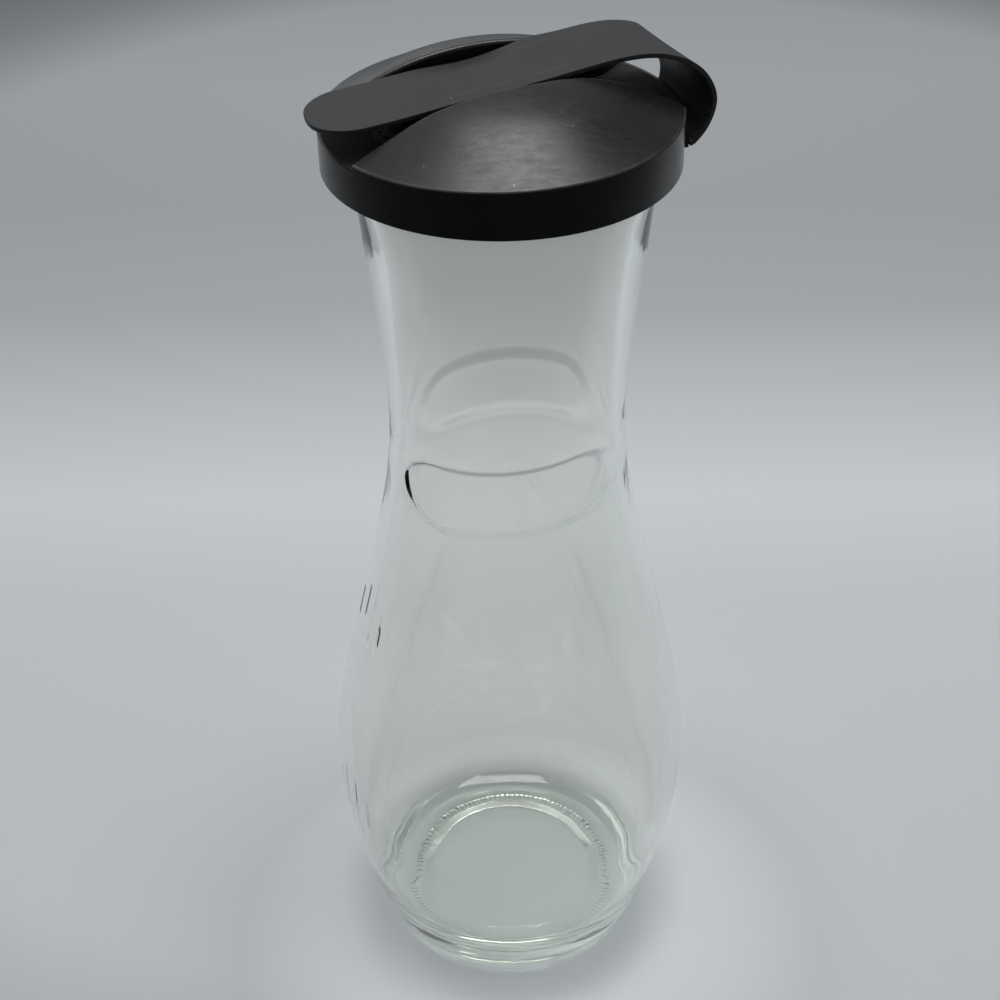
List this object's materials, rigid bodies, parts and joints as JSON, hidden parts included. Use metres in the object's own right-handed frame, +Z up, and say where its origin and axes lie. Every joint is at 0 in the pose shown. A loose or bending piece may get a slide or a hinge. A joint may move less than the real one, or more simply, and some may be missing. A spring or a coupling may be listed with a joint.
{
  "type": "salad dressing cruet",
  "caption": "Pear-shaped clear glass dressing bottle with a pinched waist and a black push-fit lid whose hinged strap closes the pour hole.",
  "frame": {"origin": "on the bottle's axis, in the plane of the ring it stands on", "axes": "+Z up along the bottle's axis; -Y is the front, with the strap's free end to the left; +X right"},
  "size_m": [0.0708, 0.0708, 0.1918],
  "materials": {
    "glass": "clear, polished, faint green tint",
    "lid_plastic": "satin black",
    "strap_plastic": "fine matte"
  },
  "bodies": {
    "bottle": {"glass_bottle": "glass"},
    "lid": {"lid_cap": "lid_plastic"},
    "strap": {"closure_strap": "strap_plastic"}
  },
  "joints": [
    {"name": "lid_lift", "type": "slide", "parent": "bottle", "child": "lid", "axis": [0, 0, 1], "range_m": [0, 0.05]},
    {"name": "strap_hinge", "type": "hinge", "parent": "lid", "child": "strap", "pos_m": [0.0283, 0.01052, 0.17505], "axis": [-0.342, 0.9397, 0], "range_deg": [0, 100]}
  ]
}
